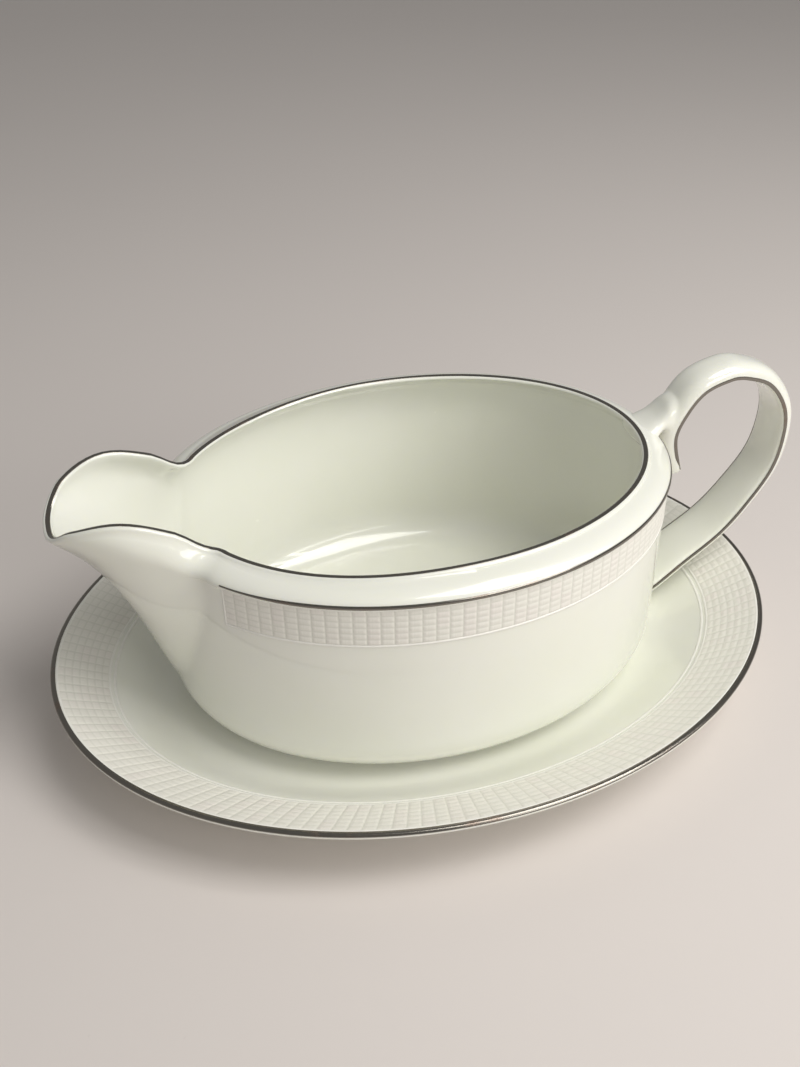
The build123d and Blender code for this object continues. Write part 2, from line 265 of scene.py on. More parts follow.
class BoatForm:
    """The boat's outside, as a plan radius in every direction at every level."""

    def __init__(self, sizes):
        self.s = sizes
        self.base = boat_low.z
        self.rim = rim_low.z
        self.collar = self.rim - sizes.collar
        self.a = boat_high.x - sizes.collar_step
        self.b = boat_high.y - sizes.collar_step
        self.reach = -boat_low.x - self.a
        self.tip_x = boat_low.x
        self.notch_x = 0.97 * (boat_high.x - sizes.rim_inset_x) * cos(sizes.mouth_angle)
        self.crest = self.rim + sizes.lip_rise
        self.tip = self.rim + sizes.lip_tip_rise

    def shoulder(self, level):
        turn = 0.93
        share = min(max((level - self.collar) / self.s.collar, 0), 1)
        return (1 - sqrt(1 - (turn * share) ** 2)) / (1 - sqrt(1 - turn**2))

    def corner_inset(self, level):
        drop = max(self.base + self.s.corner - level, 0)
        return self.s.corner - sqrt(max(self.s.corner**2 - drop**2, 0))

    def spout_share(self, level):
        start = self.base + self.s.spout_start
        return min(max((level - start) / (self.rim - start), 0), 1)

    def nose(self, level):
        share = self.spout_share(level)
        pad = self.s.pad * ease(0, 0.05, share) * (1 - share)
        return self.a + pad + self.reach * (0.61 * share + 0.39 * share**5)

    def half_angle(self, level):
        width = self.s.spout_half_width * self.spout_share(level) ** 0.43
        on_wall = atan2(width, sqrt(max(1 - (width / self.b) ** 2, 0)) * self.a)
        return on_wall + (self.s.mouth_angle - on_wall) * self.shoulder(level)

    def radius(self, angle, level, proud=0.0):
        angle = abs(atan2(sin(angle), cos(angle)))
        half_angle = self.half_angle(level)
        if half_angle > 0.05:
            proud *= ease(0.78 * half_angle, 1.06 * half_angle, angle)
        inset = self.corner_inset(level)
        shoulder = self.shoulder(level)
        soft = ease(self.rim - 24 * MM, self.rim + 6 * MM, level) / ease(-24, 6, 0)
        if angle < half_angle:
            shoulder += (soft - shoulder) * ease(0, 0.35, 1 - angle / half_angle)
        a = self.a - inset - self.s.rim_inset_x * shoulder
        b = self.b - inset - self.s.rim_inset_y * shoulder
        base = oval(a + proud, b + proud, angle)
        if angle >= half_angle:
            return base
        power = 1.6 + 0.9 * soft
        return base + (self.nose(level) - oval(a, b, 0)) * (1 - (angle / half_angle) ** 3) ** power

    def place(self, angle, level, inset=0.0, proud=0.0, height=None):
        """Point on the outside, moved inwards square to the outline by inset."""
        step = 1e-3
        ring = []
        for turn in (angle - step, angle, angle + step):
            r = self.radius(turn, level, proud)
            ring.append(Vector((-r * cos(turn), -r * sin(turn))))
        run = (ring[2] - ring[0]).normalized()
        spot = ring[1] + inset * Vector((-run.y, run.x))
        return Vector((spot.x, spot.y, level if height is None else height))

    def top(self, angle):
        """Level of the rim, or of the spout's lip, in a direction."""
        x = self.place(angle, self.rim, 0, self.s.collar_step).x
        span = -self.notch_x - self.tip_x
        lip = (
            (self.tip_x, self.tip),
            (self.tip_x + 0.14 * span, self.tip + 0.63 * (self.crest - self.tip)),
            (self.tip_x + 0.45 * span, self.crest),
            (self.tip_x + 0.78 * span, self.crest - 0.42 * self.s.lip_rise),
            (-self.notch_x, self.rim),
            (0, self.rim),
        )
        return through(lip, x)

    def form_level(self, angle, level):
        """Level in the plain form that a level at the spout's raised lip is stretched from."""
        low = self.rim - 26 * MM
        rise, tall = self.rim - low, self.top(angle) - low
        t = (level - low) / tall
        if t <= 0 or tall - rise < 0.01 * MM:
            return min(level, self.rim)
        t = min(t, 1)
        end = rise * (1 - 1.2 * (tall - rise) / tall)
        start = (t**3 - 2 * t**2 + t) * tall
        return low + start + (3 * t**2 - 2 * t**3) * rise + (t**3 - t**2) * end

    def off_spout(self, angle, level):
        """0 in the spout and 1 beyond it."""
        angle = abs(atan2(sin(angle), cos(angle)))
        half_angle = self.half_angle(level)
        return ease(0.8 * half_angle, 1.25 * half_angle + 0.01, angle)

    def rim_place(self, angle, share, lift=0.0):
        """Point on the rounded rim, share 0 at its outer edge and 1 at its inner edge."""
        crown = self.s.rim_crown + lift
        inset = -lift + (self.s.wall + 2 * lift) * (1 - cos(pi * share)) / 2
        height = self.top(angle) - self.s.rim_crown + crown * sin(pi * share) ** 0.8
        return self.place(angle, self.rim, inset, self.s.collar_step, height)


def spread(count, start=-pi, end=pi, power=1.35):
    """Directions about the bowl, closer together at the spout."""
    turns = []
    for i in range(count):
        share = start + (end - start) * i / count
        turns.append((1 if share >= 0 else -1) * pi * abs(share / pi) ** power)
    return turns


def model_bowl(sizes):
    """Bowl, spout and collar as one casting, from the middle of the foot round to the floor inside."""
    form = BoatForm(sizes)
    angles = spread(sizes.around)
    top = [form.top(angle) for angle in angles]
    foot_a = form.a - sizes.corner
    foot_b = form.b - sizes.corner
    rings = []

    def flat(a, b, level):
        rings.append([Vector((-oval(a, b, t) * cos(t), -oval(a, b, t) * sin(t), level)) for t in angles])

    recess_level = form.base + sizes.recess
    for share in (0.01, 0.4, 0.8):
        flat((foot_a - sizes.foot_ring) * share, (foot_b - sizes.foot_ring) * share, recess_level)
    for inset, rise in ((sizes.foot_ring + 0.8 * MM, sizes.recess), (sizes.foot_ring, 0.9 * sizes.recess),
                        (sizes.foot_ring - 0.5 * MM, 0.2 * sizes.recess), (sizes.foot_ring - 1.2 * MM, 0),
                        (2.0 * MM, 0)):
        flat(foot_a - inset, foot_b - inset, form.base + rise)
    for turn in range(0, 91, 9):
        level = form.base + sizes.corner * (1 - cos(radians(turn)))
        rings.append([form.place(angle, level) for angle in angles])
    bottom = form.base + sizes.corner
    step_foot = form.collar - 0.25 * MM
    courses = 26
    for i in range(1, courses + 1):
        level = bottom + (step_foot - bottom) * i / courses
        rings.append([form.place(angle, form.form_level(angle, level), height=level) for angle in angles])
    for rise, share in ((-0.08, 0.12), (0.0, 0.55), (0.12, 0.88), (0.3, 1.0)):
        level, proud = form.collar + rise * MM, share * sizes.collar_step
        rings.append([form.place(angle, form.form_level(angle, level), 0, proud, level) for angle in angles])
    steps = 14
    for i in range(1, steps + 1):
        share = (i / steps) ** 0.8
        ring = []
        for angle, crest in zip(angles, top):
            low = form.collar + 0.3 * MM
            level = low + (crest - sizes.rim_crown - low) * share
            eased = min(form.form_level(angle, level) + sizes.rim_crown * share, form.rim)
            ring.append(form.place(angle, eased, 0, sizes.collar_step, level))
        rings.append(ring)
    for i in range(1, 12):
        rings.append([form.rim_place(angle, i / 12) for angle in angles])
    for i in range(0, steps + 1):
        share = 1 - (i / steps)
        ring = []
        for angle, crest in zip(angles, top):
            level = form.collar + (crest - sizes.rim_crown - form.collar) * share
            eased = min(form.form_level(angle, level) + sizes.rim_crown * share, form.rim)
            ledge = sizes.ledge * form.off_spout(angle, form.collar)
            thick = sizes.wall + ledge * ease(0, 0.12, 1 - share)
            ring.append(form.place(angle, eased, thick, sizes.collar_step * share, level))
        rings.append(ring)
    for drop, share in ((0.4, 0.9), (0.9, 0.55), (1.4, 0.18), (1.9, 0.0)):
        level = form.collar - drop * MM
        ring = []
        for angle in angles:
            thick = sizes.wall + sizes.ledge * share * form.off_spout(angle, form.collar)
            ring.append(form.place(angle, form.form_level(angle, level), thick, 0, level))
        rings.append(ring)
    floor = form.base + sizes.floor
    inner = sizes.corner - sizes.wall
    for i in range(1, courses + 1):
        start = form.collar - 1.9 * MM
        level = start + (floor + inner - start) * i / courses
        rings.append([
            form.place(angle, form.form_level(angle, level), sizes.wall, 0, level) for angle in angles
        ])
    for turn in range(81, -1, -9):
        level = floor + inner * (1 - cos(radians(turn)))
        drop = floor + inner - level
        turn_in = inner - sqrt(max(inner**2 - drop**2, 0))
        inset = sizes.wall + max(turn_in - form.corner_inset(level), 0)
        rings.append([form.place(angle, level, inset) for angle in angles])
    last = rings[-1]
    for share in (0.85, 0.6, 0.3, 0.012):
        rings.append([Vector((p.x * share, p.y * share, floor)) for p in last])
    piece = lay_rings("bowl_and_spout", rings)
    close_pole(piece, Vector((0, 0, floor)))
    close_pole(piece, Vector((0, 0, recess_level)))
    finish_mesh(piece, 60)
    return piece


def closed_section(name, sections):
    """A strip whose section is one closed loop of rings, made from rings that run along it."""
    return lay_rings(name, sections + [sections[0]])


def model_rim_line(boat, line):
    """Platinum laid over the rounded rim, with a little bare china inside it."""
    form = BoatForm(boat)
    angles = spread(boat.around)
    start, end = 0.38, 0.72
    rings = []
    for i in range(9):
        share = start + (end - start) * i / 8
        lift = line.skin * (0.25 if i in (0, 8) else 1)
        rings.append([form.rim_place(angle, share, lift) for angle in angles])
    for i in range(3):
        share = end - (end - start) * (i + 0.5) / 3
        rings.append([form.rim_place(angle, share, -line.skin) for angle in angles])
    piece = closed_section("rim_platinum_line", rings)
    finish_mesh(piece, 60)
    return piece


def open_side(form, level, proud, behind):
    """Direction at which a band on the wall starts, just behind the spout."""
    angle = form.half_angle(level) * 0.9
    while form.place(angle, level, 0, proud).x < -form.notch_x - behind:
        angle += 0.002
    return angle


def walk(form, level, proud, start, end, count):
    """Directions from start to end at equal steps along the wall."""
    fine = 1600
    spots = [form.place(start + (end - start) * i / fine, level, 0, proud) for i in range(fine + 1)]
    run = [0.0]
    for a, b in zip(spots, spots[1:]):
        run.append(run[-1] + (b - a).length)
    directions, k = [], 0
    for i in range(count + 1):
        want = run[-1] * i / count
        while k < fine - 1 and run[k + 1] < want:
            k += 1
        part = (want - run[k]) / (run[k + 1] - run[k])
        directions.append(start + (end - start) * (k + part) / fine)
    return directions, run[-1]


def model_collar_line(boat, line):
    """Platinum line along the foot of the collar, brushed thin where it starts at the spout."""
    form = BoatForm(boat)
    middle = (collar_line_low.z + collar_line_high.z) / 2
    start = open_side(form, middle, boat.collar_step, 0.6 * MM)
    angles, run = walk(form, middle, boat.collar_step, start, 2 * pi - start, 300)
    rings = []
    for across in (-1, -0.6, 0, 0.6, 1, 0.5, -0.5):
        inner = len(rings) > 4
        ring = []
        for i, angle in enumerate(angles):
            end = min(i, 300 - i) / 300 * run
            half = line.collar_line / 2 * (0.45 + 0.55 * ease(0, 26 * MM, end))
            out = -line.skin if inner else line.skin * (1 - across**2) ** 0.5 + 0.01 * MM
            level = middle + across * half
            ring.append(form.place(angle, level, -out, boat.collar_step))
        rings.append(ring)
    piece = lay_rings("collar_platinum_line", rings + [rings[0]], loop=False)
    finish_mesh(piece, 60)
    return piece


def weave(across, up, line):
    """Height of the woven enamel at a place counted in blocks and courses."""
    in_block = across % 1
    side = min(in_block, 1 - in_block)
    block = ease(0.02, 0.13, side)
    reed = 0.82 + 0.18 * abs(sin(2.5 * pi * in_block)) ** 0.6
    in_course = up % 1
    ends = ease(0, 0.3, min(in_course, 1 - in_course))
    return line.base + line.relief * block * reed * (0.15 + 0.85 * ends)


def model_boat_band(boat, line):
    """Woven enamel round the wall under the collar, block by block."""
    form = BoatForm(boat)
    middle = (band_low.z + band_high.z) / 2
    start = open_side(form, middle, 0, 0)
    length_along = walk(form, middle, 0, start, 2 * pi - start, 2)[1]
    blocks = round(length_along / line.block)
    cuts = (0, 0.06, 0.14, 0.3, 0.5, 0.7, 0.86, 0.94)
    steps = [block + cut for block in range(blocks) for cut in cuts] + [blocks]
    fine = blocks * 50
    angles = walk(form, middle, 0, start, 2 * pi - start, fine)[0]
    along = [angles[round(step * 50)] for step in steps]
    height = band_high.z - band_low.z
    courses = round(height / line.course)
    rows = [row + cut for row in range(courses) for cut in (0, 0.16, 0.35, 0.65, 0.84)] + [courses]
    rings, marks = [], []

    def add(level, out, row):
        rings.append([form.place(angle, level, -value) for angle, value in zip(along, out)])
        marks.append([(step, row, 0) for step in steps])

    add(band_low.z, [-line.base] * len(steps), 0)
    for row in rows:
        level = band_low.z + height * row / courses
        end_row = 1 if 0 < row < courses else 0
        out = [
            weave(step, row, line) if end_row and 0 < step < blocks else line.base for step in steps
        ]
        add(level, out, row)
    add(band_high.z, [-line.base] * len(steps), courses)
    piece = lay_rings("boat_woven_enamel", rings + [rings[0]], loop=False)
    places = [mark for row in marks + [marks[0]] for mark in row]
    keep_places(piece, "weave", places)
    finish_mesh(piece, 50)
    return piece


def model_boat_border(boat, line):
    """Raised enamel that frames the woven band above, below and at the spout."""
    form = BoatForm(boat)
    middle = (band_low.z + band_high.z) / 2
    start = open_side(form, middle, 0, 0)
    angles = walk(form, middle, 0, start, 2 * pi - start, 320)[0]
    pieces = []
    for level in ((border_low.z + border_high.z) / 2, band_high.z - 0.1 * MM):
        rings = []
        for turn in range(0, 360, 45):
            up = sin(radians(turn)) * line.border / 2
            out = cos(radians(turn)) * 0.24 * MM
            rings.append([form.place(angle, level + up, -out) for angle in angles])
        piece = lay_rings("border", rings + [rings[0]], loop=False)
        finish_mesh(piece, 60)
        pieces.append(piece)
    for angle in (start, 2 * pi - start):
        rings = []
        levels = [border_low.z + (band_high.z - border_low.z) * i / 24 for i in range(25)]
        for turn in range(0, 360, 45):
            ring = []
            for level in levels:
                spot = form.place(angle, level, -cos(radians(turn)) * 0.24 * MM)
                side = sin(radians(turn)) * line.border / 2
                run = (form.place(angle + 0.01, level) - form.place(angle, level)).normalized()
                ring.append(spot + run * side)
            rings.append(ring)
        piece = lay_rings("border", rings + [rings[0]], loop=False)
        finish_mesh(piece, 60)
        pieces.append(piece)
    return join(pieces, "boat_enamel_border")


def join(pieces, name):
    select_nothing()
    for piece in pieces:
        piece.select_set(True)
    bpy.context.view_layer.objects.active = pieces[0]
    bpy.ops.object.join()
    whole = bpy.context.object
    whole.name = name
    whole.data.name = name
    return whole


class Strap:
    """Centre line and section of the handle's strap."""

    def __init__(self, boat, handle):
        form = BoatForm(boat)
        self.s = handle
        tail = form.a + 6.3 * MM
        loop = handle_high.x - handle.dome
        rim, base, top = form.rim, form.base, handle_high.z - handle.dome
        knots = (
            (tail + 3.7 * MM, rim - 20.2 * MM), (tail, rim - 6.6 * MM), (tail + 1.9 * MM, rim + 0.5 * MM),
            (tail + 7.7 * MM, rim + 8.4 * MM), (tail + 16.7 * MM, top), (tail + 22.0 * MM, top - 0.4 * MM),
            (loop - 8.5 * MM, rim + 7.4 * MM), (loop - 1.9 * MM, rim - 1.3 * MM), (loop, rim - 10.4 * MM),
            (loop - 2.0 * MM, rim - 23.5 * MM), (loop - 9.7 * MM, base + 34.5 * MM),
            (loop - 18.4 * MM, base + 24.8 * MM), (loop - 31.7 * MM, base + 15.5 * MM),
            (form.a + 3.9 * MM, base + 8.2 * MM), (form.a - 2.2 * MM, base + 5.0 * MM),
        )
        spots = [Vector((x, 0, z)) for x, z in knots]
        reach = [0.0]
        for a, b in zip(spots, spots[1:]):
            reach.append(reach[-1] + (b - a).length)
        self.total = reach[-1]
        self.xs = list(zip(reach, [p.x for p in spots]))
        self.zs = list(zip(reach, [p.z for p in spots]))

    def centre(self, run):
        return Vector((through(self.xs, run), 0, through(self.zs, run)))

    def out(self, run):
        step = 0.4 * MM
        way = (self.centre(min(run + step, self.total)) - self.centre(max(run - step, 0))).normalized()
        return Vector((-way.z, 0, way.x))

    def half(self, run):
        share = run / self.total
        s = self.s
        if share < 0.28:
            return (s.tail_width + (s.top_width - s.tail_width) * share / 0.28) / 2
        return (s.top_width + (s.root_width - s.top_width) * ease(0.2, 1.05, share)) / 2

    def edge(self, run, turn, lift=0.0, shrink=1.0):
        """Point on the skin, with turn 0 at the +Y edge, a quarter at the top of the dome."""
        c, s = cos(turn), sin(turn)
        depth = self.s.dome if s > 0 else self.s.belly
        across = (1 if c > 0 else -1) * abs(c) ** 0.72
        rise = (1 if s > 0 else -1) * abs(s) ** 0.82
        half = self.half(run)
        y = across * (half * shrink + lift)
        middle = 0.45 * self.s.dome * (1 - shrink)
        n = rise * (depth * shrink + lift) + middle
        return self.centre(run) + self.out(run) * n + Vector((0, y, 0))


def model_handle(boat, handle):
    """Strap in one loop with its curled tail, stuck to the collar by a bridge of slip."""
    strap = Strap(boat, handle)
    form = BoatForm(boat)
    turns = [2 * pi * i / 44 for i in range(44)]
    rings = []
    for back, shrink in ((0.0, 0.03), (0.05, 0.3), (0.2, 0.55), (0.5, 0.76), (1.0, 0.91), (1.7, 0.985)):
        rings.append([strap.edge(back * MM, turn, 0, shrink) for turn in turns])
    count = 150
    for i in range(1, count + 1):
        run = 1.7 * MM + (strap.total - 1.7 * MM) * i / count
        rings.append([strap.edge(run, turn) for turn in turns])
    body = lay_rings("strap", rings)
    finish_mesh(body, 60)
    x0 = form.a
    tops = [(-6.0, -1.8), (-3.8, -0.9), (-1.8, 0.1), (0.4, 1.4), (2.4, 3.2), (4.2, 5.3), (6.2, 6.6)]
    lows = [(-6.0, -7.0), (-1.0, -6.6), (0.9, -4.6), (2.2, -3.9), (3.2, -4.6), (4.4, -7.4), (6.2, -7.6)]
    wides = [(-6.0, 7.8), (-1.6, 7.0), (0.9, 6.0), (2.4, 5.7), (4.2, 5.8), (6.2, 5.6)]
    rings = []
    for i in range(29):
        x = -6.0 + 12.2 * i / 28
        top, low, wide = (through(curve, x) * MM for curve in (tops, lows, wides))
        middle, tall = form.rim + (top + low) / 2, (top - low) / 2
        rings.append([Vector((x0 + x * MM, abs(cos(t)) ** 0.75 * (wide if cos(t) > 0 else -wide),
                              middle + abs(sin(t)) ** 0.8 * (tall if sin(t) > 0 else -tall))) for t in turns])
    bridge = lay_rings("bridge", rings)
    finish_mesh(bridge, 60)
    whole = join([body, bridge], "strap_handle")
    apply_modifier(whole, "REMESH", mode="VOXEL", voxel_size=handle.voxel, adaptivity=0.0)
    apply_modifier(whole, "SMOOTH", factor=0.6, iterations=14)
    select_nothing()
    whole.select_set(True)
    bpy.context.view_layer.objects.active = whole
    bpy.ops.object.shade_smooth()
    return whole


def model_handle_line(boat, handle, line, side):
    """Platinum on the hand's side of one edge of the strap."""
    strap = Strap(boat, handle)
    rings = []
    count = 220
    start, end = 2.4 * MM, strap.total - 2.5 * MM
    low, high = -14, 7
    for i in range(count + 1):
        run = start + (end - start) * i / count
        taper = 0.25 + 0.75 * ease(0, 6 * MM, min(run - start, end - run))
        ring = []
        for k in range(7):
            share = k / 6
            turn = radians(low + (high - low) * (0.5 + (share - 0.5) * taper))
            ring.append(strap.edge(run, turn, 0.03 * MM + line.skin * 1.2 * sin(pi * share) ** 0.5))
        for k in range(3):
            share = 1 - (k + 0.5) / 3
            turn = radians(low + (high - low) * (0.5 + (share - 0.5) * taper))
            ring.append(strap.edge(run, turn, -0.25 * MM))
        if side < 0:
            ring = [Vector((p.x, -p.y, p.z)) for p in ring]
        rings.append(ring)
    piece = lay_rings("handle_platinum_line_" + ("far" if side > 0 else "near"), rings)
    finish_mesh(piece, 70)
    return piece


# ---- stand ----
class StandForm:
    """Section of the oval stand, as a level for every inset from the edge."""

    def __init__(self, sizes):
        self.s = sizes
        self.a, self.b, self.height = stand_high.x, stand_high.y, stand_high.z
        depth = self.height - sizes.well
        margin = sizes.well_margin
        self.slope = (
            (1.4 * MM, self.height), (0.42 * margin, sizes.well + 0.57 * depth),
            (0.76 * margin, sizes.well + 0.13 * depth), (margin, sizes.well), (1.2 * margin, sizes.well),
        )
        self.edge = (
            (0.5 * MM, -sizes.edge), (0.12 * MM, -1.45 * MM), (0.0, -0.9 * MM), (0.12 * MM, -0.42 * MM),
            (0.42 * MM, -0.12 * MM), (0.9 * MM, 0.0), (1.4 * MM, 0.0),
        )

    def level(self, inset):
        return through(self.slope, inset)

    def place(self, angle, inset, level, lift=0.0):
        slope = (self.level(inset + 0.2 * MM) - self.level(inset - 0.2 * MM)) / (0.4 * MM)
        lean = 1 / hypot(1, slope)
        inset -= lift * slope * lean
        r = oval(self.a - inset, self.b - inset, angle)
        return Vector((r * cos(angle), r * sin(angle), level + lift * lean))

    def ring(self, angles, inset, level, lift=0.0):
        return [self.place(angle, inset, level, lift) for angle in angles]


def model_stand(sizes):
    """Oval dish with a rounded edge and a glazed foot ring, from under the middle round to the well."""
    form = StandForm(sizes)
    angles = [2 * pi * i / sizes.around for i in range(sizes.around)]
    under = sizes.well - sizes.well_floor
    ring_out = sizes.well_margin + sizes.foot_inset
    ring_in = ring_out + sizes.foot_width
    profile = [(form.b - 0.3 * MM, under), (0.6 * form.b, under)]
    profile += [(ring_in + 1.0 * MM, under), (ring_in + 0.2 * MM, under - 0.5 * MM), (ring_in, 0.7 * MM),
                (ring_in - 0.6 * MM, 0.0), (ring_out + 0.6 * MM, 0.0), (ring_out, 0.7 * MM),
                (ring_out - 0.2 * MM, under - 0.6 * MM), (ring_out - 1.2 * MM, under)]
    steps = 26
    for i in range(steps + 1):
        inset = (sizes.well_margin - 1.2 * MM) * (1 - i / steps) + 1.2 * MM * (i / steps)
        thick = sizes.wall + (sizes.well_floor - sizes.wall) * ease(26 * MM, 38 * MM, inset)
        thick += (sizes.edge - thick) * (1 - ease(0, 12 * MM, inset))
        profile.append((inset, form.level(inset) - thick))
    profile += [(inset, form.height + drop) for inset, drop in form.edge]
    for i in range(1, 41):
        inset = 1.4 * MM + (1.12 * sizes.well_margin - 1.4 * MM) * i / 40
        profile.append((inset, form.level(inset)))
    profile += [(0.55 * form.b, sizes.well), (0.75 * form.b, sizes.well), (form.b - 0.3 * MM, sizes.well)]
    rings = []
    for inset, level in profile:
        a, b = form.a - inset, form.b - inset
        if inset > 0.5 * form.b:
            share = (form.b - inset) / (0.5 * form.b)
            a, b = (form.a - 0.5 * form.b) * share, 0.5 * form.b * share
        rings.append([Vector((oval(a, b, t) * cos(t), oval(a, b, t) * sin(t), level)) for t in angles])
    piece = lay_rings("oval_stand", rings)
    close_pole(piece, Vector((0, 0, sizes.well)))
    close_pole(piece, Vector((0, 0, under)))
    finish_mesh(piece, 60)
    return piece


def model_stand_line(sizes, line):
    """Platinum over the stand's rounded edge."""
    form = StandForm(sizes)
    angles = [2 * pi * i / (2 * sizes.around) for i in range(2 * sizes.around)]
    edge = [(0.02, -0.62), (0.12, -0.4), (0.4, -0.13), (0.85, 0.0), (1.25, 0.0), (1.55, -0.06)]
    rings = []
    for k, (inset, drop) in enumerate(edge):
        before, after = edge[max(k - 1, 0)], edge[min(k + 1, len(edge) - 1)]
        way = Vector((after[0] - before[0], after[1] - before[1])).normalized()
        out = (0.02 if k in (0, len(edge) - 1) else 0.09)
        spot = ((inset - way.y * out) * MM, (drop + way.x * out) * MM)
        rings.append([Vector((oval(form.a - spot[0], form.b - spot[0], t) * cos(t),
                              oval(form.a - spot[0], form.b - spot[0], t) * sin(t), form.height + spot[1]))
                      for t in angles])
    for inset, drop in ((1.2, -0.35), (0.55, -0.55)):
        rings.append([Vector((oval(form.a - inset * MM, form.b - inset * MM, t) * cos(t),
                              oval(form.a - inset * MM, form.b - inset * MM, t) * sin(t),
                              form.height + drop * MM)) for t in angles])
    piece = closed_section("stand_platinum_edge", rings)
    finish_mesh(piece, 60)
    return piece


def equal_steps(form, inset, count):
    """Directions at equal steps along an oval of the stand."""
    fine = 7200
    spots = [form.place(2 * pi * i / fine, inset, 0) for i in range(fine + 1)]
    run = [0.0]
    for a, b in zip(spots, spots[1:]):
        run.append(run[-1] + (b - a).length)
    found, k = [], 0
    for i in range(count):
        want = run[-1] * i / count
        while run[k + 1] < want:
            k += 1
        found.append(2 * pi * (k + (want - run[k]) / (run[k + 1] - run[k])) / fine)
    return found, run[-1]


def model_stand_band(sizes, line):
    """Woven enamel on the stand's rim, its blocks square to the edge."""
    form = StandForm(sizes)
    middle = sizes.band_inset + sizes.band_width / 2
    blocks = round(equal_steps(form, middle, 2)[1] / line.block)
    cuts = (0, 0.06, 0.14, 0.32, 0.5, 0.68, 0.86, 0.94)
    steps = [block + cut for block in range(blocks) for cut in cuts]
    angles = equal_steps(form, middle, blocks * 50)[0]
    along = [angles[round(step * 50) % len(angles)] for step in steps]
    courses = round(sizes.band_width / line.course)
    rows = [row + cut for row in range(courses) for cut in (0, 0.2, 0.5, 0.8)] + [courses]
    rings, marks = [], []
    for row in [0] + rows + [courses]:
        inset = sizes.band_inset + sizes.band_width * row / courses
        level = form.level(inset)
        if len(rings) in (0, len(rows) + 1):
            lifts = [-line.base] * len(steps)
        elif row in (0, courses):
            lifts = [line.base] * len(steps)
        else:
            lifts = [weave(step, row, line) for step in steps]
        rings.append([form.place(angle, inset, level, lift) for angle, lift in zip(along, lifts)])
        marks.append([(step, row, 1) for step in steps])
    piece = closed_section("stand_woven_enamel", rings)
    keep_places(piece, "weave", [mark for row in marks + [marks[0]] for mark in row])
    finish_mesh(piece, 50)
    return piece


def model_stand_borders(sizes, line):
    """Raised enamel lines that close the stand's woven band."""
    form = StandForm(sizes)
    angles = [2 * pi * i / sizes.around for i in range(sizes.around)]
    pieces = []
    inner = sizes.band_inset + sizes.band_width
    for inset in (sizes.band_inset, inner + 0.1 * MM, inner + 1.6 * MM):
        rings = []
        for turn in range(0, 360, 45):
            across = inset + cos(radians(turn)) * line.border / 2
            rings.append(form.ring(angles, across, form.level(across), sin(radians(turn)) * 0.15 * MM))
        piece = closed_section("border", rings)
        finish_mesh(piece, 60)
        pieces.append(piece)
    return join(pieces, "stand_enamel_borders")


# ---- materials ----
class Value:
    """A number in a node tree, with arithmetic that adds Math nodes."""

    def __init__(self, paint, socket):
        self.paint, self.socket = paint, socket

    def math(self, operation, *others, **extra):
        inputs = [self.socket] + [o.socket if isinstance(o, Value) else o for o in others]
        settings = {"operation": operation, **extra}
        return Value(self.paint, self.paint.node("ShaderNodeMath", settings, inputs)[0])

    def __add__(self, other):
        return self.math("ADD", other)

    def __mul__(self, other):
        return self.math("MULTIPLY", other)

    def __rsub__(self, other):
        return (self * -1.0) + other

    __radd__ = __add__
    __rmul__ = __mul__

    def between(self, low, high):
        """0 below low, 1 above high and smooth in between."""
        settings = {"interpolation_type": "SMOOTHSTEP"}
        node = self.paint.node("ShaderNodeMapRange", settings, {"Value": self.socket, "From Min": low,
                                                                 "From Max": high})
        return Value(self.paint, node[0])


class Paint:
    """One material and the nodes in it."""

    def __init__(self, name):
        self.material = bpy.data.materials.new(name)
        self.material.use_nodes = True
        self.tree = self.material.node_tree
        self.tree.nodes.clear()
        self.shader = self.tree.nodes.new("ShaderNodeBsdfPrincipled")
        output = self.tree.nodes.new("ShaderNodeOutputMaterial")
        self.tree.links.new(self.shader.outputs["BSDF"], output.inputs["Surface"])

    def node(self, kind, settings, inputs):
        """Adds a node, with its settings first and then its sockets' values or links."""
        node = self.tree.nodes.new(kind)
        for key, value in settings.items():
            if key == "stops":
                for _ in range(len(value) - 2):
                    node.color_ramp.elements.new(0.5)
                for element, (place, shade) in zip(node.color_ramp.elements, value):
                    element.position = place
                    element.color = (*shade, 1)
            else:
                setattr(node, key, value)
        items = inputs.items() if isinstance(inputs, dict) else enumerate(inputs)
        for key, value in items:
            self.feed(node.inputs[key], value)
        return node.outputs

    def feed(self, socket, value):
        if isinstance(value, Value):
            value = value.socket
        if isinstance(value, bpy.types.NodeSocket):
            self.tree.links.new(value, socket)
        else:
            if socket.type == "RGBA" and len(value) == 3:
                value = (*value, 1)
            socket.default_value = value

    def set(self, **values):
        """Feeds the shader's sockets, named with _ for a space."""
        for key, value in values.items():
            self.feed(self.shader.inputs[key.replace("_", " ")], value)

    def here(self, size=1.0):
        """Object coordinates, optionally grown about the origin."""
        where = self.node("ShaderNodeTexCoord", {}, {})["Object"]
        return self.node("ShaderNodeMapping", {}, {"Vector": where, "Scale": (size, size, size)})[0]

    def noise(self, where, scale, detail=2.0, rough=0.5, warp=0.0):
        inputs = {"Vector": where, "Scale": scale, "Detail": detail, "Roughness": rough, "Distortion": warp}
        return Value(self, self.node("ShaderNodeTexNoise", {}, inputs)["Fac"])

    def mix(self, share, first, second):
        sockets = {0: share, 6: first, 7: second}
        return self.node("ShaderNodeMix", {"data_type": "RGBA"}, sockets)[2]

    def bump(self, height, strength, distance, normal=None):
        inputs = {"Height": height, "Strength": strength, "Distance": distance}
        if normal is not None:
            inputs["Normal"] = normal
        return self.node("ShaderNodeBump", {}, inputs)[0]


